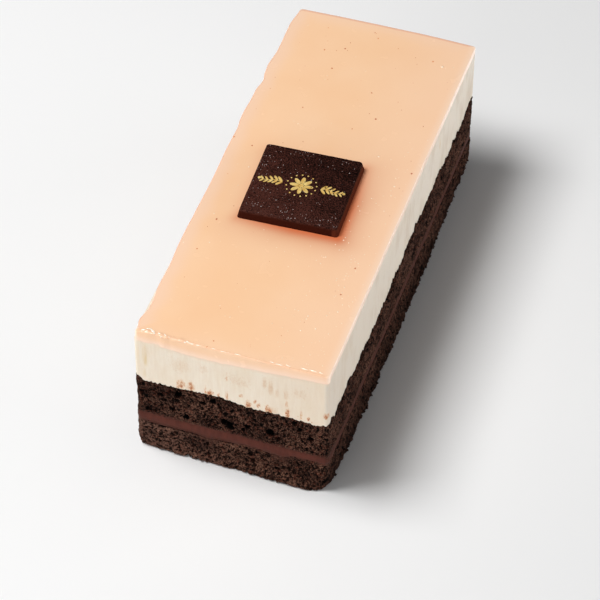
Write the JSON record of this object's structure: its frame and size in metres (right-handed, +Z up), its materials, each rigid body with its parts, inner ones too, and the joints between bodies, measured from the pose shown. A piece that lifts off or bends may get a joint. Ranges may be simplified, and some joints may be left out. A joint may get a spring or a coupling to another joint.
{
  "type": "chocolate cheesecake",
  "caption": "Bar-shaped layered chocolate cheesecake: dark sponge, cream and white cheese mousse under a peach jelly glaze, with a square chocolate plaque on top.",
  "frame": {"origin": "centre of the cake's bounding box in plan, at the flat underside", "axes": "+Y along the cake's length, from the shown end towards the far end; +Z up; +X to the right of the shown end"},
  "size_m": [0.0577, 0.1447, 0.0511],
  "materials": {
    "sponge": "dark chocolate sponge, porous and dull",
    "cream": "reddish-brown chocolate cream, soft sheen",
    "mousse": "warm white cheese mousse, smooth and dull",
    "glaze": "peach-coloured jelly glaze, wet and glossy",
    "plaque": "moulded dark chocolate, satin"
  },
  "bodies": {
    "root": {"lower_sponge": "sponge", "chocolate_cream": "cream", "upper_sponge": "sponge", "cheese_mousse": "mousse", "peach_glaze": "glaze", "chocolate_plaque": "plaque"}
  },
  "joints": []
}
